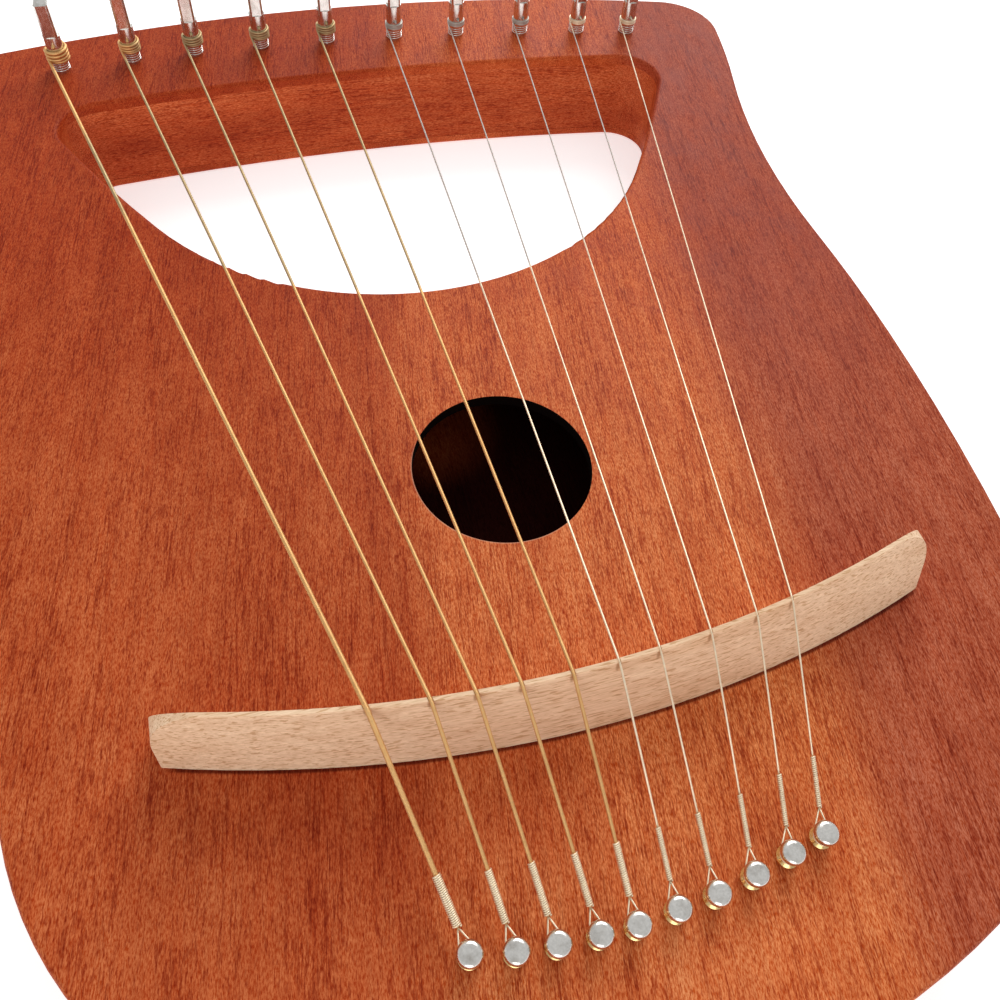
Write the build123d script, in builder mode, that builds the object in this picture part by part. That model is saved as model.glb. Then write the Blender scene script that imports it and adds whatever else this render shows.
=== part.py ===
"""Ten-string lyre harp, lying on its back.

Millimetres. +Z leaves the face, +Y runs from the tail to the yoke, +X is the treble side.
The origin is under the middle of the body, on the surface that it lies on.
"""

import math
import os

from build123d import *

# Body
body_length = 334
hole_y = -39               # sound hole centre, and the datum of every outline below
hole_radius = 21
back_thickness = 3
frame_thickness = 24
board_thickness = 3
wall = 12                  # width of the rim and of the rail under the opening
edge_round = 1.3
tail_y = hole_y - 128
yoke_top_y = tail_y + body_length
yoke_half_width = 131
face_z = back_thickness + frame_thickness + board_thickness
chamber_tail_y = hole_y - 86

# Opening between the arms
opening_radius = 83.5      # its lower edge
opening_centre_y = hole_y + 60.4 + opening_radius
opening_top_y = hole_y + 165
arm_joint_y = hole_y + 146
rail_half_length = 64
tail_half_length = 64

# Bridge
bridge_height = 18.6
bridge_half_span = 80
bridge_foot_radius = 262   # plan radius of its tail-side foot
bridge_foot_y = hole_y - 65
bridge_lean = 4.7          # the top edge stands this far in from the tail-side foot
ridge_shift = 5.6          # the top edge's arc is centred this far to the bass side
bridge_foot_width = 8.2
bridge_top_width = 0.8
bridge_end_radius = 12
notch_reach = 8

# Strings, bass to treble: X on the bridge, at the yoke line and at the tail line, diameter
string_layout = (
    (-41.9, -92.0, -31.0, 1.04),
    (-30.8, -71.0, -24.6, 0.80),
    (-22.7, -52.5, -17.8, 0.77),
    (-14.5, -32.5, -10.7, 0.74),
    (-4.9, -12.0, -4.5, 0.72),
    (4.0, 9.5, 2.9, 0.45),
    (12.2, 29.5, 10.4, 0.41),
    (22.9, 51.0, 17.5, 0.40),
    (33.0, 70.5, 24.6, 0.39),
    (41.1, 88.0, 31.6, 0.38),
)
yoke_line_y = hole_y + 157.5
tail_line_y = hole_y - 108
string_sink = 0.3          # depth of a string in its notch
string_bend_radius = 2.5
string_gap = 0.06          # between a string and the wood of its notch
tail_slope = 0.40

# Tuning pins
pin_radius = 2.5
pin_bore_radius = 2.53
pin_depth = 19             # in the wood
bore_depth = 20
pin_round_height = 11      # above the face, below the square
pin_square_height = 10
pin_square = 4.1
string_hole_radius = 0.6
departure_height = 3.8     # string centre above the face where it meets the pin
winding_turns = 4
winding_gap = 0.02
turning_gap = 0.3          # between a string's straight run and its turning coil

# Hitch pins and the rings at the strings' ends, with heights above the face
hitch_radius = 1.0
hitch_depth = 14
hitch_head_radius = 2.3
hitch_head_height = 1.4
hitch_head_round = 1.1
ring_radius = 2.1
ring_waist_radius = 1.5
ring_bore_radius = 1.1
ring_flange = 0.6
ring_bottom = 0.8
ring_top = 4.2
ring_gap = 0.3

# Glued inside the chamber
brace_width = 7
brace_depth = 9
upper_brace_y = hole_y + 31
lower_brace_y = hole_y - 31
patch_width = 28
patch_thickness = 3
patch_half_length = 72

bridge_centre_y = bridge_foot_y + bridge_foot_radius
ridge_radius = bridge_foot_radius - bridge_lean
chamber_floor_z = back_thickness
board_bottom_z = back_thickness + frame_thickness


def ridge_at(x):
    """Y of the bridge's top edge at x."""
    return bridge_centre_y - math.sqrt(ridge_radius**2 - (x + ridge_shift)**2)


def pin_row_at(x):
    """Y of the row of tuning pins at x: a shallow arch, a little longer on the bass side."""
    return hole_y + 184 - 0.0008 * x**2 - 0.03 * x


class StringRun:
    """The route of one string: hitch pin, bridge, tuning pin."""

    def __init__(self, number, bridge_x, yoke_x, tail_x, diameter):
        self.number = number
        self.radius = diameter / 2
        apex_z = face_z + bridge_height - string_sink + self.radius
        self.apex = Vector(bridge_x, ridge_at(bridge_x), apex_z)
        self.along = Vector(yoke_x - bridge_x, yoke_line_y - self.apex.Y, 0).normalized()
        self.tailward = Vector(tail_x - bridge_x, tail_line_y - self.apex.Y, 0).normalized()

        reach = (pin_row_at(yoke_x) - self.apex.Y) / self.along.Y
        self.pin_drop = apex_z - (face_z + departure_height)
        aside = Vector(self.along.Y, -self.along.X, 0)
        self.pin_centre = self.apex + self.along * reach + aside * (pin_radius + self.radius)
        coil_radius = pin_radius + diameter + turning_gap
        self.pin_reach = reach
        self.pin_run = reach - math.sqrt(coil_radius**2 - pin_radius**2)

        self.hole_z = face_z + departure_height + winding_turns * diameter + 0.7

        self.tail_drop = apex_z - face_z - (ring_bottom + ring_top) / 2
        self.tail_reach = self.tail_drop / tail_slope
        self.tail_run = self.tail_reach - ring_radius - ring_gap
        self.hitch_centre = self.apex + self.tailward * self.tail_reach

    def route(self, tail_run, pin_run):
        """Points of the string's centre, this far each way from the bridge."""
        tail_step = self.tailward - Vector(0, 0, self.tail_drop / self.tail_reach)
        pin_step = self.along - Vector(0, 0, self.pin_drop / self.pin_reach)
        return self.apex + tail_step * tail_run, self.apex, self.apex + pin_step * pin_run


strings = [StringRun(n, *row) for n, row in enumerate(string_layout, start=1)]

# Outlines, drawn on the XY plane and lifted to each layer

with BuildSketch() as body_outline:
    with BuildLine():
        flank = TangentArc((0, tail_y), (60, hole_y - 117), tangent=(1, 0))
        mirror(flank, about=Plane.YZ)
        for x, y in ((108, -58), (115, 20), (114, 62), (122, 140), (yoke_half_width, 189)):
            flank = TangentArc(flank @ 1, (x, hole_y + y), tangent=flank % 1)
            mirror(flank, about=Plane.YZ)
        ThreePointArc(flank @ 1, (0, yoke_top_y), (-yoke_half_width, hole_y + 189))
    make_face()
    fillet(body_outline.vertices().group_by(Axis.Y)[-1], radius=19)

with BuildSketch() as opening_outline:
    with BuildLine():
        lower = CenterArc((0, opening_centre_y), opening_radius, 212, 116)
        inner = TangentArc(lower @ 1, (102, opening_top_y - 7), tangent=lower % 1)
        mirror(inner, about=Plane.YZ)
        ThreePointArc(inner @ 1, (0, opening_top_y), (-102, opening_top_y - 7))
    make_face()
    fillet(opening_outline.vertices().group_by(Axis.Y)[-1], radius=12)

with BuildSketch() as chamber_outline:
    add(body_outline.sketch)
    offset(amount=-wall)
    with Locations((0, opening_centre_y)):
        Circle(opening_radius + wall, mode=Mode.SUBTRACT)
    with Locations((0, arm_joint_y)):
        Rectangle(300, 2 * (arm_joint_y - hole_y - 78), mode=Mode.SUBTRACT)
    with Locations((0, chamber_tail_y)):
        Rectangle(300, 100, align=(Align.CENTER, Align.MAX), mode=Mode.SUBTRACT)
    corners = chamber_outline.vertices().group_by(Axis.Y)
    fillet(corners[0] + corners[-1], radius=8)

# Shell: back, five-piece frame, soundboard

with BuildPart() as back_plate:
    with BuildSketch():
        add(body_outline.sketch)
        add(opening_outline.sketch, mode=Mode.SUBTRACT)
    extrude(amount=back_thickness)
    fillet(back_plate.faces().sort_by(Axis.Z)[0].edges(), radius=edge_round)
back_plate.part.label = "back_plate"

with BuildPart(mode=Mode.PRIVATE) as whole_frame:
    with BuildSketch(Plane.XY.offset(chamber_floor_z)):
        add(body_outline.sketch)
        add(opening_outline.sketch, mode=Mode.SUBTRACT)
        add(chamber_outline.sketch, mode=Mode.SUBTRACT)
    extrude(amount=frame_thickness)

with BuildPart() as yoke:
    add(whole_frame.part)
    split(bisect_by=Plane.XZ.offset(-arm_joint_y), keep=Keep.BOTTOM)
    for run in strings:
        with Locations((run.pin_centre.X, run.pin_centre.Y, board_bottom_z)):
            Hole(pin_bore_radius, depth=bore_depth - board_thickness)
yoke.part.label = "yoke"

with BuildPart() as waist_rail:
    add(whole_frame.part)
    split(bisect_by=Plane.XZ.offset(-arm_joint_y), keep=Keep.TOP)
    split(bisect_by=Plane.XZ.offset(-hole_y), keep=Keep.BOTTOM)
    split(bisect_by=Plane.YZ.offset(rail_half_length), keep=Keep.BOTTOM)
    split(bisect_by=Plane.YZ.offset(-rail_half_length), keep=Keep.TOP)
waist_rail.part.label = "waist_rail"

with BuildPart() as tail_block:
    add(whole_frame.part)
    split(bisect_by=Plane.XZ.offset(-hole_y), keep=Keep.TOP)
    split(bisect_by=Plane.YZ.offset(tail_half_length), keep=Keep.BOTTOM)
    split(bisect_by=Plane.YZ.offset(-tail_half_length), keep=Keep.TOP)
    for run in strings:
        with Locations((run.hitch_centre.X, run.hitch_centre.Y, board_bottom_z)):
            Hole(hitch_radius + winding_gap, depth=hitch_depth - board_thickness + 1)
tail_block.part.label = "tail_block"

with BuildPart() as treble_side:
    add(whole_frame.part)
    split(bisect_by=Plane.XZ.offset(-arm_joint_y), keep=Keep.TOP)
    split(bisect_by=Plane.YZ.offset(rail_half_length), keep=Keep.TOP)
treble_side.part.label = "treble_side"

with BuildPart() as bass_side:
    mirror(treble_side.part, about=Plane.YZ)
bass_side.part.label = "bass_side"

with BuildPart() as soundboard:
    with BuildSketch(Plane.XY.offset(board_bottom_z)):
        add(body_outline.sketch)
        add(opening_outline.sketch, mode=Mode.SUBTRACT)
        with Locations((0, hole_y)):
            Circle(hole_radius, mode=Mode.SUBTRACT)
    extrude(amount=board_thickness)
    face_edges = soundboard.faces().sort_by(Axis.Z)[-1].edges()
    rim_edges = [e for e in face_edges if e.distance_to((0, hole_y, face_z)) > hole_radius + 1]
    fillet(rim_edges, radius=edge_round)
    for run in strings:
        with Locations((run.pin_centre.X, run.pin_centre.Y, face_z)):
            Hole(pin_bore_radius)
        with Locations((run.hitch_centre.X, run.hitch_centre.Y, face_z)):
            Hole(hitch_radius + winding_gap)
soundboard.part.label = "soundboard"

# Inside the chamber


def make_brace(name, y, half_length):
    """A bar under the soundboard, with its ends cut down to slim feet."""
    with BuildPart() as brace:
        with BuildSketch(Plane.XZ.offset(-y)):
            with BuildLine():
                Polyline(
                    (-half_length, board_bottom_z),
                    (-half_length, board_bottom_z - 2),
                    (-half_length + 22, board_bottom_z - brace_depth),
                    (half_length - 22, board_bottom_z - brace_depth),
                    (half_length, board_bottom_z - 2),
                    (half_length, board_bottom_z),
                    close=True,
                )
            make_face()
        extrude(amount=brace_width / 2, both=True)
        fillet(brace.faces().sort_by(Axis.Z)[0].edges().filter_by(Axis.X), radius=2)
    brace.part.label = name
    return brace.part


upper_brace = make_brace("upper_brace", upper_brace_y, 88)
lower_brace = make_brace("lower_brace", lower_brace_y, 96)

with BuildPart() as bridge_patch:
    with BuildSketch(Plane.XY.offset(board_bottom_z - patch_thickness)):
        with Locations((0, ridge_at(0) + 1)):
            RectangleRounded(2 * patch_half_length, patch_width, 5)
    extrude(amount=patch_thickness)
    chamfer(bridge_patch.faces().sort_by(Axis.Z)[0].edges(), length=1)
bridge_patch.part.label = "bridge_patch"

# Bridge: a curved blade that narrows upwards, its tail side leaning in

with BuildPart() as bridge:
    for height, centre_x, radius, width in (
        (0, 0, bridge_foot_radius, bridge_foot_width),
        (bridge_height, -ridge_shift, ridge_radius, bridge_top_width),
    ):
        with BuildSketch(Plane.XY.offset(face_z + height)):
            with BuildLine():
                tail_arc = CenterArc((centre_x, bridge_centre_y), radius, 248, 44)
                yoke_arc = CenterArc((centre_x, bridge_centre_y), radius - width, 248, 44)
                Line(tail_arc @ 0, yoke_arc @ 0)
                Line(tail_arc @ 1, yoke_arc @ 1)
            make_face()
    loft(ruled=True)
    with BuildSketch(Plane.XZ.offset(-ridge_at(0))) as bridge_front:
        with Locations((0, face_z)):
            Rectangle(2 * bridge_half_span, bridge_height, align=(Align.CENTER, Align.MIN))
        fillet(bridge_front.vertices().group_by(Axis.Y)[-1], radius=bridge_end_radius)
    extrude(amount=bridge_half_span, both=True, mode=Mode.INTERSECT)
    for run in strings:
        with BuildLine():
            notch = FilletPolyline(*run.route(notch_reach, notch_reach), radius=string_bend_radius)
        with BuildSketch(Plane(origin=notch @ 0, z_dir=notch % 0)):
            Circle(run.radius + string_gap)
        sweep(path=notch, mode=Mode.SUBTRACT)
bridge.part.label = "bridge"

# Hitch pins, driven into the tail block, and the rings that hook over them

hitch_places = [(run.hitch_centre.X, run.hitch_centre.Y) for run in strings]

with BuildPart() as hitch_pins:
    with BuildSketch(Plane.XY.offset(face_z - hitch_depth)):
        with Locations(hitch_places):
            Circle(hitch_radius)
    extrude(amount=hitch_depth + ring_top)
    with BuildSketch(Plane.XY.offset(face_z + ring_top)):
        with Locations(hitch_places):
            Circle(hitch_head_radius)
    extrude(amount=hitch_head_height)
    fillet(hitch_pins.faces().group_by(Axis.Z)[-1].edges(), radius=hitch_head_round)
hitch_pins.part.label = "hitch_pins"

with BuildPart() as string_rings:
    for run in strings:
        place = Vector(run.hitch_centre.X, run.hitch_centre.Y, face_z)
        with BuildSketch(Plane(origin=place, x_dir=(1, 0, 0), z_dir=(0, -1, 0))):
            with BuildLine():
                Polyline(
                    (ring_bore_radius, ring_bottom),
                    (ring_radius, ring_bottom),
                    (ring_radius, ring_bottom + ring_flange),
                    (ring_waist_radius, ring_bottom + 2 * ring_flange),
                    (ring_waist_radius, ring_top - 2 * ring_flange - winding_gap),
                    (ring_radius, ring_top - ring_flange - winding_gap),
                    (ring_radius, ring_top - winding_gap),
                    (ring_bore_radius, ring_top - winding_gap),
                    close=True,
                )
            make_face()
        revolve(axis=Axis(place, (0, 0, 1)))
string_rings.part.label = "string_rings"

# Strings, tuning pins and the coils wound on them


def make_string(run):
    """One string, from its ring over the bridge to just short of its tuning pin."""
    with BuildPart() as string:
        with BuildLine():
            path = FilletPolyline(*run.route(run.tail_run, run.pin_run), radius=string_bend_radius)
        with BuildSketch(Plane(origin=path @ 0, z_dir=path % 0)):
            Circle(run.radius)
        sweep(path=path)
    string.part.label = f"string_{run.number}"
    return string.part


def make_tuning_pin(run):
    """A round steel pin with a square head and a cross hole for the string."""
    centre = (run.pin_centre.X, run.pin_centre.Y)
    with BuildPart() as pin:
        with BuildSketch(Plane.XY.offset(face_z - pin_depth)):
            with Locations(centre):
                Circle(pin_radius)
        extrude(amount=pin_depth + pin_round_height)
        chamfer(pin.faces().sort_by(Axis.Z)[0].edges(), length=0.8)
        with BuildSketch(Plane.XY.offset(face_z + pin_round_height)):
            with Locations(centre):
                Circle(pin_radius)
                Rectangle(pin_square, pin_square, mode=Mode.INTERSECT)
        extrude(amount=pin_square_height)
        chamfer(pin.faces().sort_by(Axis.Z)[-1].edges(), length=0.4)
        with Locations(Location((*centre, run.hole_z), (90, 0, 0))):
            Cylinder(string_hole_radius, 3 * pin_radius, mode=Mode.SUBTRACT)
    pin.part.label = f"tuning_pin_{run.number}"
    return pin.part


def make_winding(run):
    """The string's coil on its pin, as a ribbed sleeve that is round in every position."""
    inner = pin_radius + winding_gap
    pitch = 1.96 * run.radius
    place = Vector(run.pin_centre.X, run.pin_centre.Y, face_z + departure_height)
    with BuildPart() as winding:
        with BuildSketch(Plane(origin=place, x_dir=(1, 0, 0), z_dir=(0, -1, 0))):
            with Locations((inner, -run.radius)):
                height = 2 * run.radius + (winding_turns - 1) * pitch
                Rectangle(run.radius, height, align=(Align.MIN, Align.MIN))
            for turn in range(winding_turns):
                with Locations((inner + run.radius, turn * pitch)):
                    Circle(run.radius)
        revolve(axis=Axis(place, (0, 0, 1)))
    winding.part.label = f"winding_{run.number}"
    return winding.part


pieces = [
    back_plate.part,
    tail_block.part,
    bass_side.part,
    treble_side.part,
    waist_rail.part,
    yoke.part,
    upper_brace,
    lower_brace,
    bridge_patch.part,
    soundboard.part,
    bridge.part,
    hitch_pins.part,
    string_rings.part,
]
for run in strings:
    pieces += [make_string(run), make_tuning_pin(run), make_winding(run)]

os.makedirs("parts", exist_ok=True)
for piece in pieces:
    export_step(piece, f"parts/{piece.label}.step")
    print(piece.label, round(piece.volume, 1))
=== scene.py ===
"""Ten-string lyre harp: the looks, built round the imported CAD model.

Metres, in the CAD frame: the lyre lies on its back, +Z leaves its face, +Y runs to the yoke.
"""
import math

import bpy
from mathutils import Matrix, Vector


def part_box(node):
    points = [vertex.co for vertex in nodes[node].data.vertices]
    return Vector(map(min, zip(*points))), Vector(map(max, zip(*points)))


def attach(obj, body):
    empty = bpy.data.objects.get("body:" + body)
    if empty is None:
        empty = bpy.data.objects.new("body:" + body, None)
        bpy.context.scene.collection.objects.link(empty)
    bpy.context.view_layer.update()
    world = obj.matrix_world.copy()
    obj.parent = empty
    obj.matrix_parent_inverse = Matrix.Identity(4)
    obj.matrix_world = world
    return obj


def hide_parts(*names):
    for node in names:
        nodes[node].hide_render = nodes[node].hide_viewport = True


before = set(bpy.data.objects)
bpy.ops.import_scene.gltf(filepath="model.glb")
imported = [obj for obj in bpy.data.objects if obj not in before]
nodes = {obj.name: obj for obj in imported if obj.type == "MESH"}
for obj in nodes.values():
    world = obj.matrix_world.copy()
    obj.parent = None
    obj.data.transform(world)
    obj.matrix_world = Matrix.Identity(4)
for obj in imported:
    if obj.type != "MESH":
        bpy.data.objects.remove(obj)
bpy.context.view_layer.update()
MM = 0.001

STRING_COUNT = 10
WOUND_COUNT = 5
FACE_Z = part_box("soundboard")[1].z
BACK_INNER_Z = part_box("back_plate")[1].z
RIDGE_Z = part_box("bridge")[1].z
BRIDGE_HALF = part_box("bridge")[1].x
HOLE = Vector((0, -39 * MM, FACE_Z))
HOLE_RADIUS = 21 * MM
OPENING_RADIUS = 83.5 * MM
OPENING_CENTRE = HOLE + Vector((0, 143.9 * MM, 0))
OPENING_END = 100 * MM     # how far past the hole the opening's arc runs
OPENING_SHADE_CENTRE = OPENING_CENTRE - Vector((3, 12, 0)) * MM     # of the circle inside which the strings get a painted shade
FOOT_RADIUS = 262 * MM     # of the bridge's foot, in plan
FOOT_CENTRE = HOLE + Vector((0, 197 * MM, 0))

# Strings and their ends
END_SLICE = 0.6 * MM       # a CAD string's points this near its end belong to that end
BEND_MARGIN = 2 * MM       # and those farther than this from both ends to its bend
RIB_PITCH = 0.23 * MM
RIB_DEPTH = 0.05           # of the string's radius
WOUND_SIDES = 10
PLAIN_SIDES = 12
LOOP_RADIUS = 0.17 * MM
LOOP_SIDES = 8
LOOP_STEPS = 24
LOOP_REACH = 5 * MM        # from the hitch pin to the start of the twist
TWIST_LENGTH = 9 * MM
TWIST_PITCH = 2.1 * LOOP_RADIUS
TWIST_SIDES = 6
TWIST_STEPS = 14           # in each turn
RING_WAIST = 1.5 * MM
RING_MIDDLE = 2.5 * MM     # above the face
COIL_TURNS = 3
COIL_STEPS = 40            # in each turn
COIL_SIDES = 12
COIL_PITCH = 1.02          # of the string's diameter
COIL_GAP = 0.02 * MM
COIL_START = math.pi / 6   # the turn at which the helix leaves the closed ring
CLIMB_STEPS = 8            # from the top of the helix to the cross hole
CLIMB_TURN = math.pi / 3
HOLE_CLEARANCE = 0.7 * MM  # between the coil's top and the cross hole
COIL_END_RADIUS = 0.5 * MM      # the thickest end that the cross hole takes
STUB = 1.2 * MM            # of a string's end beyond its cross hole
DEPARTURE = 3.8 * MM       # height above the face where a string meets its pin
THREAD_PITCH = 0.7 * MM
THREAD_HEIGHT = 2.7 * MM
THREAD_START = 0.15 * MM   # above the face
THREAD_RADIUS = 0.13 * MM
THREAD_SIDES = 6
BRIDGE_BEND = 1.2 * MM     # how much of each straight run the bend at the bridge takes


def linear(red, green, blue):
    """A linear colour from 0-255 display values."""
    def channel(value):
        share = value / 255
        return share / 12.92 if share <= 0.04045 else ((share + 0.055) / 1.055) ** 2.4
    return channel(red), channel(green), channel(blue), 1.0


# Camera, floor and light


def make_camera():
    """Close over the bass side of the tail, looking up the strings at the sound hole."""
    azimuth = math.radians(-21.23)
    elevation = math.radians(55.75)
    roll = math.radians(6.82)
    distance = 203.9 * MM
    aim = HOLE + Vector((-3.17, -9.24, 0)) * MM
    back = Vector((math.sin(azimuth) * math.cos(elevation),
                   -math.cos(azimuth) * math.cos(elevation),
                   math.sin(elevation)))
    level_right = Vector((math.cos(azimuth), math.sin(azimuth), 0))
    level_up = back.cross(level_right)
    right = math.cos(roll) * level_right + math.sin(roll) * level_up
    up = back.cross(right)
    camera = bpy.data.objects.new("camera", bpy.data.cameras.new("camera"))
    camera.data.sensor_width = 36
    camera.data.lens = 32.4
    camera.data.clip_start = 5 * MM
    turn = Matrix((right, up, back)).transposed().to_4x4()
    camera.matrix_world = Matrix.Translation(aim + distance * back) @ turn
    bpy.context.scene.collection.objects.link(camera)
    bpy.context.scene.camera = camera


def make_area_light(name, place, size, power):
    """A soft round light aimed at the middle of the lyre."""
    light = bpy.data.lights.new(name, "AREA")
    light.shape = "DISK"
    light.size = size
    light.energy = power
    lamp = bpy.data.objects.new(name, light)
    lamp.location = place
    lamp.rotation_mode = "QUATERNION"
    lamp.rotation_quaternion = (-Vector(place)).to_track_quat("-Z", "Y")
    bpy.context.scene.collection.objects.link(lamp)


def make_floor():
    """A wide pale floor that reads as white under the product, with only soft contact shade."""
    half = 6.0
    mesh = bpy.data.meshes.new("floor")
    corners = [(-half, -half, 0), (half, -half, 0), (half, half, 0), (-half, half, 0)]
    mesh.from_pydata(corners, [], [(0, 1, 2, 3)])
    floor = bpy.data.objects.new("floor", mesh)
    bpy.context.scene.collection.objects.link(floor)
    material, tree, shader = new_material("floor_white")
    set_inputs(shader, {"Base Color": (0.9, 0.9, 0.9, 1), "Roughness": 0.9, "Specular IOR Level": 0.1,
                        "Emission Color": (1, 1, 1, 1), "Emission Strength": 0.55})
    floor.data.materials.append(material)


def make_world():
    world = bpy.data.worlds.new("studio")
    world.use_nodes = True
    background = world.node_tree.nodes["Background"]
    background.inputs["Color"].default_value = (1, 1, 1, 1)
    background.inputs["Strength"].default_value = 0.62
    bpy.context.scene.world = world


# Node helpers


def new_material(name):
    material = bpy.data.materials.new(name)
    material.use_nodes = True
    tree = material.node_tree
    return material, tree, tree.nodes["Principled BSDF"]


def set_inputs(node, inputs):
    """Sets each input, by name or place, to a value, or links it to another node's output."""
    for key, value in inputs.items():
        if isinstance(value, bpy.types.NodeSocket):
            node.id_data.links.new(value, node.inputs[key])
        else:
            node.inputs[key].default_value = value


def add(tree, kind, inputs=(), **settings):
    node = tree.nodes.new("ShaderNode" + kind)
    for name, value in settings.items():
        setattr(node, name, value)
    set_inputs(node, dict(inputs))
    return node


def calculate(tree, operation, *values):
    inputs = dict(enumerate(values))
    return add(tree, "Math", inputs, operation=operation).outputs[0]


def remap(tree, value, from_min, from_max, to_min=0.0, to_max=1.0, smooth=False):
    """The value's range from_min to from_max, moved onto to_min to to_max and held there."""
    inputs = {"Value": value, "From Min": from_min, "From Max": from_max,
              "To Min": to_min, "To Max": to_max}
    kind = "SMOOTHSTEP" if smooth else "LINEAR"
    return add(tree, "MapRange", inputs, interpolation_type=kind).outputs[0]


def ramp(tree, factor, stops):
    """A colour ramp through (place, colour) stops."""
    node = add(tree, "ValToRGB", {"Fac": factor})
    elements = node.color_ramp.elements
    while len(elements) < len(stops):
        elements.new(0.5)
    for element, (place, colour) in zip(elements, stops):
        element.position = place
        element.color = colour
    return node.outputs["Color"]


def product(tree, first, second):
    return calculate(tree, "MULTIPLY", first, second)


def mix(tree, blend, factor, first, second):
    node = add(tree, "Mix", {0: factor, 6: first, 7: second}, data_type="RGBA", blend_type=blend)
    return node.outputs[2]


def tinted(tree, mask, colour, tint):
    """The colour times the tint, as far as the mask says."""
    return mix(tree, "MULTIPLY", mask, colour, tint)


def toned(tree, colour, noise, dark, light, low=0.3):
    """The colour times dark where the noise is at low, and times light where it is as far above half."""
    tone = mix(tree, "MIX", remap(tree, noise, low, 1 - low), (*dark, 1), (*light, 1))
    return tinted(tree, 1.0, colour, tone)


def scaled(tree, colour, factor):
    return add(tree, "VectorMath", {0: colour, 3: factor}, operation="SCALE").outputs[0]


def grain_noise(tree, coords, along, across_rate, along_rate, seed, detail=2.0, roughness=0.5):
    """Noise drawn out along one axis; the rates are features per metre."""
    rates = [across_rate] * 3
    rates["XYZ".index(along)] = along_rate
    offset = (seed * 3.7, seed * 1.9, seed * 2.3)
    place = add(tree, "Mapping", {"Vector": coords, "Location": offset, "Scale": rates})
    noise = add(tree, "TexNoise", {"Vector": place.outputs[0], "Scale": 1.0, "Detail": detail,
                                   "Roughness": roughness})
    return noise.outputs["Fac"]


def object_place(tree):
    return add(tree, "TexCoord").outputs["Object"]


def split_place(tree, coords):
    return add(tree, "SeparateXYZ", {"Vector": coords}).outputs


# Wood

DARK_RIBBON = linear(170, 70, 30)
MID_RIBBON = linear(190, 86, 40)
PALE_RIBBON = linear(204, 102, 52)
BASS_RED = linear(176, 75, 35)
MIDDLE_ORANGE = linear(200, 98, 50)
TREBLE_RED = linear(168, 76, 46)
ORANGE_START = (-22 * MM, -6 * MM)      # across the board, from red to full orange
ORANGE_END = (56 * MM, 78 * MM)
# Painted shade toward the yoke and painted light toward the tail, blended along the board
YOKE_PAINTED_SHADE = (0.95, 0.82, 0.65, 1)
TAIL_PAINTED_LIGHT = (1.14, 1.38, 1.32, 1)
TINT_SPAN = (45 * MM, -55 * MM)         # along the board, from one tint to the other

# Pairs of tints, for the low and the high parts of a noise
BOARD_TONES = ((0.95, 0.92, 0.90), (1.03, 1.06, 1.08))
WARMTH_TONES = ((0.98, 0.88, 0.80), (1.02, 1.12, 1.18))
STREAK_TONES = ((0.93, 0.86, 0.83), (1.07, 1.11, 1.13))
CURL_TONES = ((0.91, 0.82, 0.78), (1.07, 1.15, 1.20))
FIBRE_TONES = ((0.74, 0.42, 0.20), (1.20, 1.54, 2.20))
BEECH_GROWTH_TONES = ((0.93, 0.89, 0.86), (1.06, 1.08, 1.09))
BEECH_FIBRE_TONES = ((0.86, 0.82, 0.76), (1.10, 1.13, 1.16))

# Single tints
LINE_TINT = (0.70, 0.50, 0.42, 1)
PORE_TINT = (0.70, 0.50, 0.43, 1)
# Darkens a thin band along the hand opening's edge
OPENING_EDGE_TINT = (0.45, 0.34, 0.30, 1)
# Painted contact shade along the bridge's foot, then the bridge's painted shadow and painted light
FOOT_SHADE_TINT = (0.30, 0.18, 0.15, 1)
BASS_PAINTED_SHADOW = (0.94, 0.83, 0.79, 1)
TREBLE_PAINTED_LIGHT = (1.08, 1.14, 1.10, 1)
# Painted shade over the inside of the back, and a paler patch of painted light
INSIDE_PAINTED_SHADE = (0.04, 0.022, 0.045, 1)
INSIDE_PAINTED_LIGHT = (0.52, 0.44, 0.38, 1)
RAY_TINT = (0.74, 0.63, 0.52, 1)
# Painted highlight on the bridge's ridge, and painted shadow beside each string
RIDGE_PAINTED_HIGHLIGHT = (1.05, 1.07, 1.07, 1)
NOTCH_PAINTED_SHADOW = (0.50, 0.38, 0.27, 1)
# Painted highlight along the sound hole's edge
RIM_PAINTED_HIGHLIGHT = linear(214, 166, 138)
HOLE_STAIN = linear(12, 3, 2)


def plain_ribbons(tree, coords, along, seed):
    broad = grain_noise(tree, coords, along, 48, 5, seed, detail=2.5)
    return ramp(tree, broad, ((0.32, DARK_RIBBON), (0.5, MID_RIBBON), (0.68, PALE_RIBBON)))


def soundboard_ribbons(tree, coords, along, seed):
    """Dark red on the bass side, pale orange past the hole, and red again on the treble arm, under a
    painted shade toward the yoke and painted light, paler and more orange, toward the tail."""
    place = split_place(tree, coords)
    wander = grain_noise(tree, coords, along, 30, 9, seed, detail=2)
    sway = remap(tree, wander, 0.3, 0.7, -3 * MM, 3 * MM)
    across = calculate(tree, "ADD", place["X"], sway)
    colour = mix(tree, "MIX", remap(tree, across, *ORANGE_START, smooth=True), BASS_RED, MIDDLE_ORANGE)
    colour = mix(tree, "MIX", remap(tree, across, *ORANGE_END, smooth=True), colour, TREBLE_RED)
    broad = grain_noise(tree, coords, along, 60, 5, seed + 9, detail=2.5)
    colour = toned(tree, colour, broad, *BOARD_TONES)
    # painted shade toward the yoke, painted light toward the tail
    tint = mix(tree, "MIX", remap(tree, place["Y"], *TINT_SPAN), YOKE_PAINTED_SHADE, TAIL_PAINTED_LIGHT)
    return tinted(tree, 1.0, colour, tint)


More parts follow.
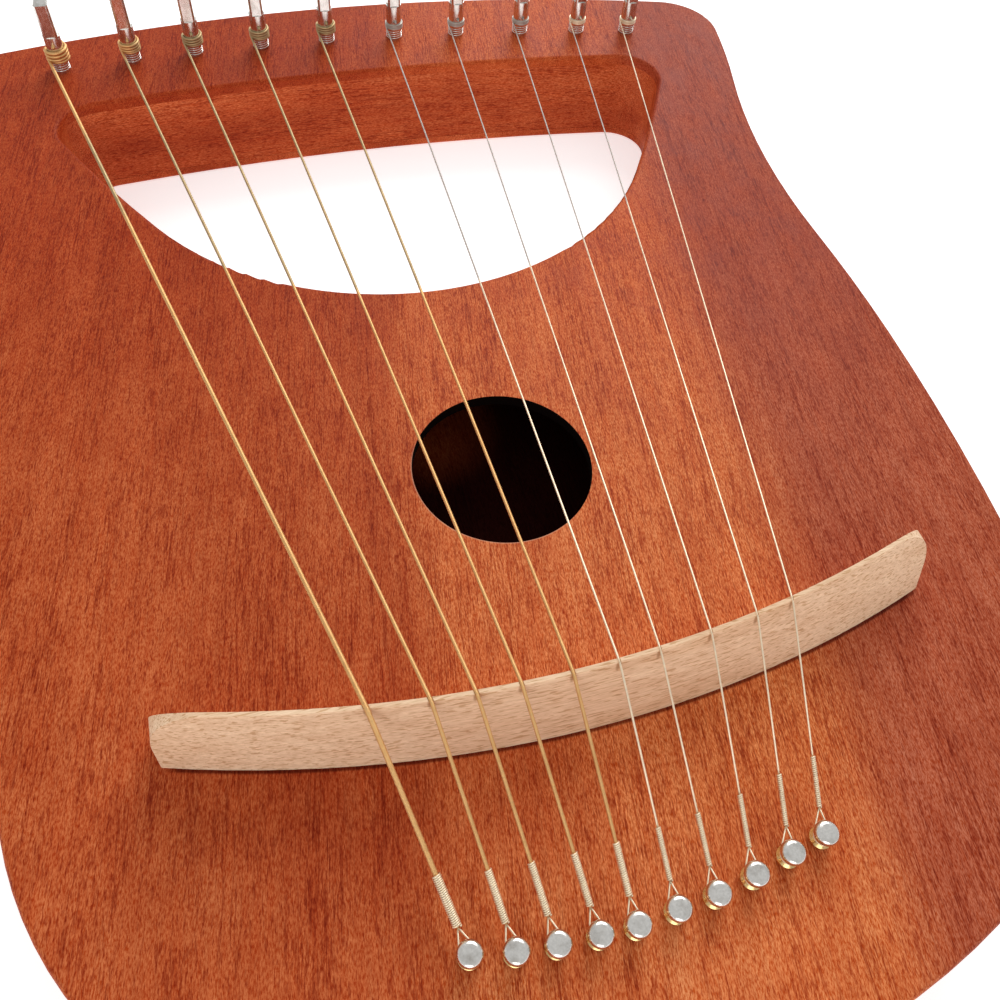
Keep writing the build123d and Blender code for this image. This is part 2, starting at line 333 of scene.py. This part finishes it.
def mahogany(name, along="Y", seed=1, ribbons=plain_ribbons, stains_and_shade=None, lean=0):
    """Open-pored satin mahogany: ribbons, streaks, a faint curl, fine lines and short dark pores.

    The grain runs along one axis, turned about Z by lean, in degrees.
    """
    material, tree, shader = new_material(name)
    coords = object_place(tree)
    turned = add(tree, "Mapping", {"Vector": coords, "Rotation": (0, 0, math.radians(lean))}).outputs[0]

    def noise(across_rate, along_rate, step, detail=2.0, roughness=0.5):
        return grain_noise(tree, turned, along, across_rate, along_rate, seed + step, detail, roughness)

    streak = noise(700, 22, 1, 4, 0.6)
    curl = noise(150, 100, 2, 3)
    fibre = noise(4400, 1100, 3, 2, 0.7)
    pores = noise(3300, 430, 4, 1.5)
    crowding = noise(160, 40, 5)
    warmth = noise(900, 60, 6, 3)
    lines = noise(2600, 130, 7, 1.5)
    gathering = noise(200, 24, 8)

    colour = ribbons(tree, turned, along, seed)
    colour = toned(tree, colour, warmth, *WARMTH_TONES)
    colour = toned(tree, colour, streak, *STREAK_TONES)
    colour = toned(tree, colour, curl, *CURL_TONES)
    colour = toned(tree, colour, fibre, *FIBRE_TONES, low=0.36)
    gathered = remap(tree, gathering, 0.42, 0.58, 0.1, 1)
    line_mask = product(tree, remap(tree, lines, 0.47, 0.39), gathered)
    colour = tinted(tree, line_mask, colour, LINE_TINT)

    depth = calculate(tree, "ADD", pores, remap(tree, crowding, 0.3, 0.7, -0.05, 0.05))
    pore_mask = remap(tree, depth, 0.45, 0.36)
    colour = tinted(tree, pore_mask, colour, PORE_TINT)
    roughness = remap(tree, curl, 0.3, 0.7, 0.42, 0.52)
    if stains_and_shade:
        colour, roughness = stains_and_shade(tree, coords, colour, roughness)
    height = calculate(tree, "SUBTRACT", remap(tree, fibre, 0.3, 0.7, 0, 0.35), pore_mask)
    bump = add(tree, "Bump", {"Height": height, "Strength": 0.25, "Distance": 0.05 * MM})
    set_inputs(shader, {"Base Color": colour, "Roughness": roughness, "Normal": bump.outputs[0],
                        "Specular IOR Level": 0.07})
    return material


def distance_in_plan(tree, coords, centre):
    offset = (-centre.x, -centre.y, 0)
    flat = add(tree, "Mapping", {"Vector": coords, "Location": offset, "Scale": (1, 1, 0)})
    return add(tree, "VectorMath", {0: flat.outputs[0]}, operation="LENGTH").outputs["Value"]


def hole_stain_and_highlight(tree, coords, colour, roughness):
    """The sound hole's wall is stained dark, under a painted highlight, a thin pale band along its edge on
    the bass and tail side.
    """
    place = split_place(tree, coords)
    reach = distance_in_plan(tree, coords, HOLE)
    wall = remap(tree, reach, HOLE_RADIUS + 0.06 * MM, HOLE_RADIUS + 0.03 * MM)
    slant = calculate(tree, "ADD", place["X"], calculate(tree, "SUBTRACT", place["Y"], HOLE.y))
    # painted highlight along the hole's bass and tail edge
    rim_highlight = product(tree, remap(tree, reach, HOLE_RADIUS + 0.35 * MM, HOLE_RADIUS + 0.2 * MM),
                  remap(tree, slant, -4 * MM, -16 * MM, 0, 0.45))
    colour = mix(tree, "MIX", rim_highlight, colour, RIM_PAINTED_HIGHLIGHT)
    colour = mix(tree, "MIX", wall, colour, HOLE_STAIN)
    return colour, calculate(tree, "MAXIMUM", roughness, wall)


def darkened_opening_edge(tree, coords, colour):
    """The opening's edge is darker in a thin band, on the part of its arc toward the tail."""
    along_board = split_place(tree, coords)["Y"]
    reach = distance_in_plan(tree, coords, OPENING_CENTRE)
    off_edge = calculate(tree, "ABSOLUTE", calculate(tree, "SUBTRACT", reach, OPENING_RADIUS))
    edge = product(tree, remap(tree, off_edge, 0.55 * MM, 0.15 * MM, smooth=True),
                   calculate(tree, "LESS_THAN", along_board, HOLE.y + OPENING_END))
    return tinted(tree, edge, colour, OPENING_EDGE_TINT)


def painted_foot_shade(tree, coords, colour):
    """A fine dark line of painted contact shade follows the bridge's foot. Behind it, within the bridge's
    span, a painted shadow darkens the board on the bass side and painted light brightens it on the treble
    side."""
    across_board = split_place(tree, coords)["X"]
    aside = calculate(tree, "ABSOLUTE", across_board)
    reach = distance_in_plan(tree, coords, FOOT_CENTRE)
    # painted contact shade along the foot
    foot_shade = remap(tree, reach, FOOT_RADIUS + 1.0 * MM, FOOT_RADIUS + 0.4 * MM, smooth=True)
    foot_shade = product(tree, foot_shade, calculate(tree, "GREATER_THAN", reach, FOOT_RADIUS - 2 * MM))
    foot_shade = product(tree, foot_shade, remap(tree, aside, BRIDGE_HALF, BRIDGE_HALF - 3 * MM))
    colour = tinted(tree, foot_shade, colour, FOOT_SHADE_TINT)

    # painted shadow of the bridge on the bass side, painted light on the treble side
    side = remap(tree, across_board, -20 * MM, 25 * MM, smooth=True)
    bridge_shadow = mix(tree, "MIX", side, BASS_PAINTED_SHADOW, TREBLE_PAINTED_LIGHT)
    behind = product(tree, calculate(tree, "GREATER_THAN", reach, FOOT_RADIUS),
                     remap(tree, aside, BRIDGE_HALF - 3 * MM, BRIDGE_HALF - 25 * MM, smooth=True))
    behind = product(tree, behind,
                     remap(tree, reach, FOOT_RADIUS + 30 * MM, FOOT_RADIUS + 14 * MM, smooth=True))
    return tinted(tree, behind, colour, bridge_shadow)


def edges_and_foot_shade(tree, coords, colour, roughness):
    colour, roughness = hole_stain_and_highlight(tree, coords, colour, roughness)
    colour = darkened_opening_edge(tree, coords, colour)
    return painted_foot_shade(tree, coords, colour), roughness


def painted_shade_inside(tree, coords, colour, roughness):
    """The inner face of the back is painted dark as shade, with a paler patch of painted light past the
    hole toward the yoke, and unfinished.
    """
    inner = calculate(tree, "GREATER_THAN", split_place(tree, coords)["Z"], BACK_INNER_Z - 0.05 * MM)
    reach = distance_in_plan(tree, coords, HOLE + Vector((-12 * MM, 38 * MM, 0)))
    # paler patch of painted light inside, past the hole toward the yoke
    thin = remap(tree, reach, 26 * MM, 6 * MM, smooth=True)
    inside_shading = mix(tree, "MIX", thin, INSIDE_PAINTED_SHADE, INSIDE_PAINTED_LIGHT)
    colour = tinted(tree, inner, colour, inside_shading)
    return colour, calculate(tree, "MAXIMUM", roughness, inner)


def beech(name, bends):
    """Bare beech with short fine rays along the bridge, a painted highlight along its ridge, and a
    painted shadow beside each string's notch."""
    material, tree, shader = new_material(name)
    coords = object_place(tree)
    broad = grain_noise(tree, coords, "X", 170, 14, 31, detail=3)
    growth = grain_noise(tree, coords, "X", 900, 40, 34, detail=3)
    fibre = grain_noise(tree, coords, "X", 3600, 330, 32, detail=2, roughness=0.7)
    rays = grain_noise(tree, coords, "X", 2700, 300, 33, detail=1)
    colour = ramp(tree, broad, ((0.32, linear(226, 186, 150)), (0.68, linear(240, 206, 173))))
    colour = toned(tree, colour, growth, *BEECH_GROWTH_TONES)
    colour = toned(tree, colour, fibre, *BEECH_FIBRE_TONES)
    colour = tinted(tree, remap(tree, rays, 0.42, 0.36), colour, RAY_TINT)
    # painted highlight along the ridge
    top = remap(tree, split_place(tree, coords)["Z"], RIDGE_Z - 0.8 * MM, RIDGE_Z - 0.3 * MM, smooth=True)
    colour = tinted(tree, top, colour, RIDGE_PAINTED_HIGHLIGHT)
    # painted shadow beside each string just under the ridge
    for bend in bends:
        centre = bend + Vector((-0.3 * MM, 0, -1.0 * MM))
        scale = Vector((1 / (0.6 * MM), 0, 1 / (1.7 * MM)))
        near = add(tree, "Mapping", {"Vector": coords, "Location": -centre * scale, "Scale": scale})
        reach = add(tree, "VectorMath", {0: near.outputs[0]}, operation="LENGTH").outputs["Value"]
        notch_shadow = remap(tree, reach, 1.0, 0.2, 0, 0.8, smooth=True)
        colour = tinted(tree, notch_shadow, colour, NOTCH_PAINTED_SHADOW)
    bump = add(tree, "Bump", {"Height": fibre, "Strength": 0.2, "Distance": 0.04 * MM})
    set_inputs(shader, {"Base Color": colour, "Roughness": 0.6, "Normal": bump.outputs[0],
                        "Specular IOR Level": 0.2})
    return material


def spruce(name):
    material, tree, shader = new_material(name)
    coords = object_place(tree)
    rings = grain_noise(tree, coords, "X", 800, 12, 41, detail=2)
    colour = ramp(tree, rings, ((0.35, linear(190, 150, 98)), (0.6, linear(222, 192, 144))))
    set_inputs(shader, {"Base Color": colour, "Roughness": 0.7})
    return material


# Metal


def metal(name, colour, roughness, dull=(0.72, 0.70, 0.68, 1), seed=51, opening_shade=(1, 1, 1, 1)):
    """Bright metal with faint tarnish and handling marks. A painted shade, given as a tint, darkens and
    cools it inside a circle over and just before the opening, whose far side also takes in the coils of the
    middle pins."""
    material, tree, shader = new_material(name)
    coords = object_place(tree)
    tarnish = grain_noise(tree, coords, "Z", 420, 300, seed, detail=3)
    marks = grain_noise(tree, coords, "Z", 2600, 700, seed + 1, detail=4)
    colour = tinted(tree, remap(tree, tarnish, 0.45, 0.75), colour, dull)
    # painted shade on the strings where they cross the opening
    reach = distance_in_plan(tree, coords, OPENING_SHADE_CENTRE)
    shaded_over_opening = remap(tree, reach, OPENING_RADIUS + 1 * MM, OPENING_RADIUS - 1 * MM)
    colour = tinted(tree, shaded_over_opening, colour, opening_shade)
    bump = add(tree, "Bump", {"Height": marks, "Strength": 0.08, "Distance": 0.03 * MM})
    set_inputs(shader, {
        "Base Color": scaled(tree, colour, remap(tree, marks, 0.3, 0.7, 0.9, 1.03)),
        "Metallic": 1.0,
        "Roughness": remap(tree, marks, 0.3, 0.7, roughness * 0.8, roughness * 1.3),
        "Normal": bump.outputs[0],
    })
    return material


# Wire and thread, built as tubes along a line of points


def rounded(corners, cut, steps=6):
    """The line through the corners, with each inner corner eased over a length cut on both sides."""
    line = [corners[0]]
    for before, corner, after in zip(corners, corners[1:], corners[2:]):
        start = corner + (before - corner).normalized() * cut
        end = corner + (after - corner).normalized() * cut
        for step in range(steps + 1):
            share = step / steps
            line.append(start.lerp(corner, share).lerp(corner.lerp(end, share), share))
    return line + [corners[-1]]


def ribbed(line, pitch):
    """Points a quarter of a pitch apart along the line, each with its place in the rib, 0 to 3."""
    points = []
    step = pitch / 4
    left = 0.0
    count = 0
    for start, end in zip(line, line[1:]):
        length = (end - start).length
        while left < length:
            points.append((start.lerp(end, left / length), count % 4))
            left += step
            count += 1
        left -= length
    return points


def tube_mesh(verts, faces, line, radii, sides, closed):
    """Adds a tube along the line to verts and faces, capped unless it is closed."""
    first = len(verts)
    count = len(line)
    tangent = line[1] - line[0]
    normal = tangent.orthogonal().normalized()
    for place, radius in enumerate(radii):
        before = line[place - 1] if closed else line[max(place - 1, 0)]
        after = line[(place + 1) % count] if closed else line[min(place + 1, count - 1)]
        tangent = (after - before).normalized()
        normal = (normal - tangent * normal.dot(tangent)).normalized()
        side = tangent.cross(normal)
        for corner in range(sides):
            turn = 2 * math.pi * corner / sides
            verts.append(line[place] + radius * (math.cos(turn) * normal + math.sin(turn) * side))
    for place in range(count if closed else count - 1):
        here = first + place * sides
        there = first + (place + 1) % count * sides
        for corner in range(sides):
            after = (corner + 1) % sides
            faces.append((here + corner, here + after, there + after, there + corner))
    if not closed:
        faces.append(tuple(range(first + sides - 1, first - 1, -1)))
        faces.append(tuple(range(first + (count - 1) * sides, first + count * sides)))


def make_piece(name, tubes, material, body, replaced=()):
    """One piece of several tubes, each (line, radii or one radius, sides, closed)."""
    verts, faces = [], []
    for line, radii, sides, closed in tubes:
        if not isinstance(radii, list):
            radii = [radii] * len(line)
        tube_mesh(verts, faces, line, radii, sides, closed)
    mesh = bpy.data.meshes.new(name)
    mesh.from_pydata(verts, [], faces)
    mesh.update()
    mesh.shade_smooth()
    mesh.materials.append(material)
    piece = bpy.data.objects.new(name, mesh)
    bpy.context.scene.collection.objects.link(piece)
    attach(piece, body)
    if replaced:
        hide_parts(*replaced)


class Wire:
    """One string's facts, measured on its CAD nodes."""

    def __init__(self, number):
        self.number = number
        self.wound = number <= WOUND_COUNT
        points = [vertex.co.copy() for vertex in nodes[f"string_{number}"].data.vertices]
        lowest = min(point.y for point in points)
        highest = max(point.y for point in points)
        tail = [p for p in points if p.y < lowest + END_SLICE]
        pin = [p for p in points if p.y > highest - END_SLICE]
        bend = [p for p in points if lowest + BEND_MARGIN < p.y < highest - BEND_MARGIN]
        self.tail, self.bend, self.pin_end = (sum(part, Vector()) / len(part) for part in (tail, bend, pin))
        self.radius = max((p - self.tail).length for p in tail)

        low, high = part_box(f"tuning_pin_{number}")
        self.pin_axis = (low + high) / 2
        self.pin_radius = (high.x - low.x) / 2
        along = (self.pin_end - self.bend).normalized()
        flat = Vector((along.x, along.y, 0))
        offset = self.pin_axis - self.bend
        reach = (offset.x * flat.x + offset.y * flat.y) / flat.length_squared
        self.meeting = self.bend + along * reach
        self.tail_step = (self.bend - self.tail).normalized()
        ring_low = FACE_Z + RING_MIDDLE
        self.hitch = self.tail - self.tail_step * ((self.tail.z - ring_low) / self.tail_step.z)


def make_string(wire, material, core_material):
    """The string from its twist at the tail, over the bridge, to the side of its tuning pin."""
    twist_start = wire.hitch + wire.tail_step * LOOP_REACH
    corners = [twist_start, wire.bend, wire.meeting]
    line = rounded(corners, BRIDGE_BEND)
    if wire.wound:
        points = ribbed(line, RIB_PITCH)
        line = [point for point, place in points]
        ribs = (1.0, 1 - RIB_DEPTH, 1 - 2 * RIB_DEPTH, 1 - RIB_DEPTH)
        radii = [wire.radius * ribs[place] for point, place in points]
        sides = WOUND_SIDES
    else:
        radii = wire.radius
        sides = PLAIN_SIDES
    name = f"string_run_{wire.number}"
    make_piece(name, [(line, radii, sides, False)], material, "lyre_body", [f"string_{wire.number}"])

    loop = (loop_line(wire, twist_start), LOOP_RADIUS, LOOP_SIDES, False)
    twist = (twist_line(wire, twist_start), LOOP_RADIUS, TWIST_SIDES, False)
    make_piece(f"string_tie_{wire.number}", [loop, twist], core_material, "lyre_body")


def loop_line(wire, start):
    """The tie's loop: from the twist round the far side of the ring and back."""
    centre = wire.hitch
    away = Vector((-wire.tail_step.x, -wire.tail_step.y, 0)).normalized()
    side = Vector((-away.y, away.x, 0))
    radius = RING_WAIST + LOOP_RADIUS
    half_turn = math.pi - math.acos(radius / LOOP_REACH)
    line = [start]
    for step in range(LOOP_STEPS + 1):
        turn = -half_turn + 2 * half_turn * step / LOOP_STEPS
        line.append(centre + radius * (math.cos(turn) * away + math.sin(turn) * side))
    return line + [start]


def twist_line(wire, start):
    """The tie's tail, wound tightly round the string."""
    axis = wire.tail_step
    normal = axis.orthogonal().normalized()
    side = axis.cross(normal)
    radius = wire.radius + LOOP_RADIUS
    turns = TWIST_LENGTH / TWIST_PITCH
    steps = int(turns * TWIST_STEPS)
    line = []
    for step in range(steps + 1):
        turn = 2 * math.pi * turns * step / steps
        line.append(start + axis * TWIST_LENGTH * step / steps
                    + radius * (math.cos(turn) * normal + math.sin(turn) * side))
    return line


def make_coil(wire, material):
    """The string's turns on its pin: a closed first ring, which looks the same however the
    pin stands, then a helix that climbs to the cross hole and comes out of its far side."""
    centre = Vector((wire.pin_axis.x, wire.pin_axis.y, 0))
    reach = wire.pin_radius + wire.radius + COIL_GAP
    low = wire.meeting.z
    pitch = 2 * wire.radius * COIL_PITCH
    hole_z = FACE_Z + DEPARTURE + 8 * wire.radius + HOLE_CLEARANCE

    def at(turn, height, out=reach):
        return centre + Vector((out * math.cos(turn), out * math.sin(turn), height))

    ring = [at(2 * math.pi * step / COIL_STEPS, low) for step in range(COIL_STEPS)]
    helix = []
    for step in range(COIL_TURNS * COIL_STEPS + 1):
        turns = step / COIL_STEPS
        helix.append(at(COIL_START + 2 * math.pi * turns, low + pitch * turns))

    top = low + pitch * COIL_TURNS
    climb = []
    for step in range(1, CLIMB_STEPS + 1):
        share = step / CLIMB_STEPS
        rise = (1 - math.cos(math.pi * share)) / 2
        climb.append(at(COIL_START + CLIMB_TURN * share, top + (hole_z - top) * rise))

    far_side = at(-math.pi / 2, hole_z, wire.pin_radius + STUB)
    inward = rounded([climb[-1], at(math.pi / 2, hole_z), far_side], 0.4 * reach, 5)
    end_radius = min(wire.radius, COIL_END_RADIUS)
    line = helix + climb[:-1] + inward[1:]
    radii = [wire.radius] * len(helix) + [end_radius] * (len(line) - len(helix))
    tubes = [(ring, wire.radius, COIL_SIDES, True), (line, radii, COIL_SIDES, False)]
    make_piece(f"coil_{wire.number}", tubes, material, f"pin_{wire.number}",
               [f"winding_{wire.number}"])


def make_pin_thread(wire, material):
    """The fine thread that shows between the wood and the coil."""
    turns = THREAD_HEIGHT / THREAD_PITCH
    line = []
    for step in range(int(turns * COIL_STEPS) + 1):
        turn = 2 * math.pi * step / COIL_STEPS
        height = FACE_Z + THREAD_START + THREAD_PITCH * step / COIL_STEPS
        line.append(Vector((wire.pin_axis.x + wire.pin_radius * math.cos(turn),
                            wire.pin_axis.y + wire.pin_radius * math.sin(turn), height)))
    make_piece(f"pin_thread_{wire.number}", [(line, THREAD_RADIUS, THREAD_SIDES, False)], material,
               f"pin_{wire.number}")


make_camera()
make_world()
make_floor()
make_area_light("key", (1.05, 1.85, 1.65), 1.9, 44)
make_area_light("fill", (-0.45, -1.45, 0.34), 1.0, 6)
bpy.context.scene.view_settings.view_transform = "Standard"

wires = [Wire(number) for number in range(1, STRING_COUNT + 1)]
board_wood = mahogany("soundboard_mahogany", "Y", 1, soundboard_ribbons, edges_and_foot_shade, 9)
back_wood = mahogany("back_mahogany", "Y", 8, stains_and_shade=painted_shade_inside)
side_wood = mahogany("side_mahogany", "Y", 15)
cross_wood = mahogany("cross_mahogany", "X", 22)
bridge_wood = beech("bridge_beech", [wire.bend for wire in wires])
brace_wood = spruce("brace_spruce")
nickel = metal("nickel", (0.80, 0.78, 0.74, 1), 0.2)
brass = metal("brass", (0.83, 0.58, 0.26, 1), 0.25, seed=53)
bronze_wire = metal("bronze_wire", (0.80, 0.49, 0.21, 1), 0.5, (0.90, 0.84, 0.78, 1), 55,
                    (0.66, 0.80, 1, 1))
steel_wire = metal("steel_wire", (0.97, 0.83, 0.62, 1), 0.5, (0.90, 0.88, 0.86, 1), 57,
                   (0.60, 0.66, 0.80, 1))

finishes = {
    "soundboard": board_wood,
    "back_plate": back_wood,
    "bass_side": side_wood,
    "treble_side": side_wood,
    "yoke": cross_wood,
    "waist_rail": cross_wood,
    "tail_block": cross_wood,
    "bridge": bridge_wood,
    "upper_brace": brace_wood,
    "lower_brace": brace_wood,
    "bridge_patch": brace_wood,
    "hitch_pins": nickel,
    "string_rings": brass,
}
for number in range(1, STRING_COUNT + 1):
    finishes[f"tuning_pin_{number}"] = nickel
for node_name, material in finishes.items():
    nodes[node_name].data.materials.clear()
    nodes[node_name].data.materials.append(material)

for wire in wires:
    metal_of_string = bronze_wire if wire.wound else steel_wire
    make_string(wire, metal_of_string, steel_wire)
    make_coil(wire, metal_of_string)
    make_pin_thread(wire, nickel)
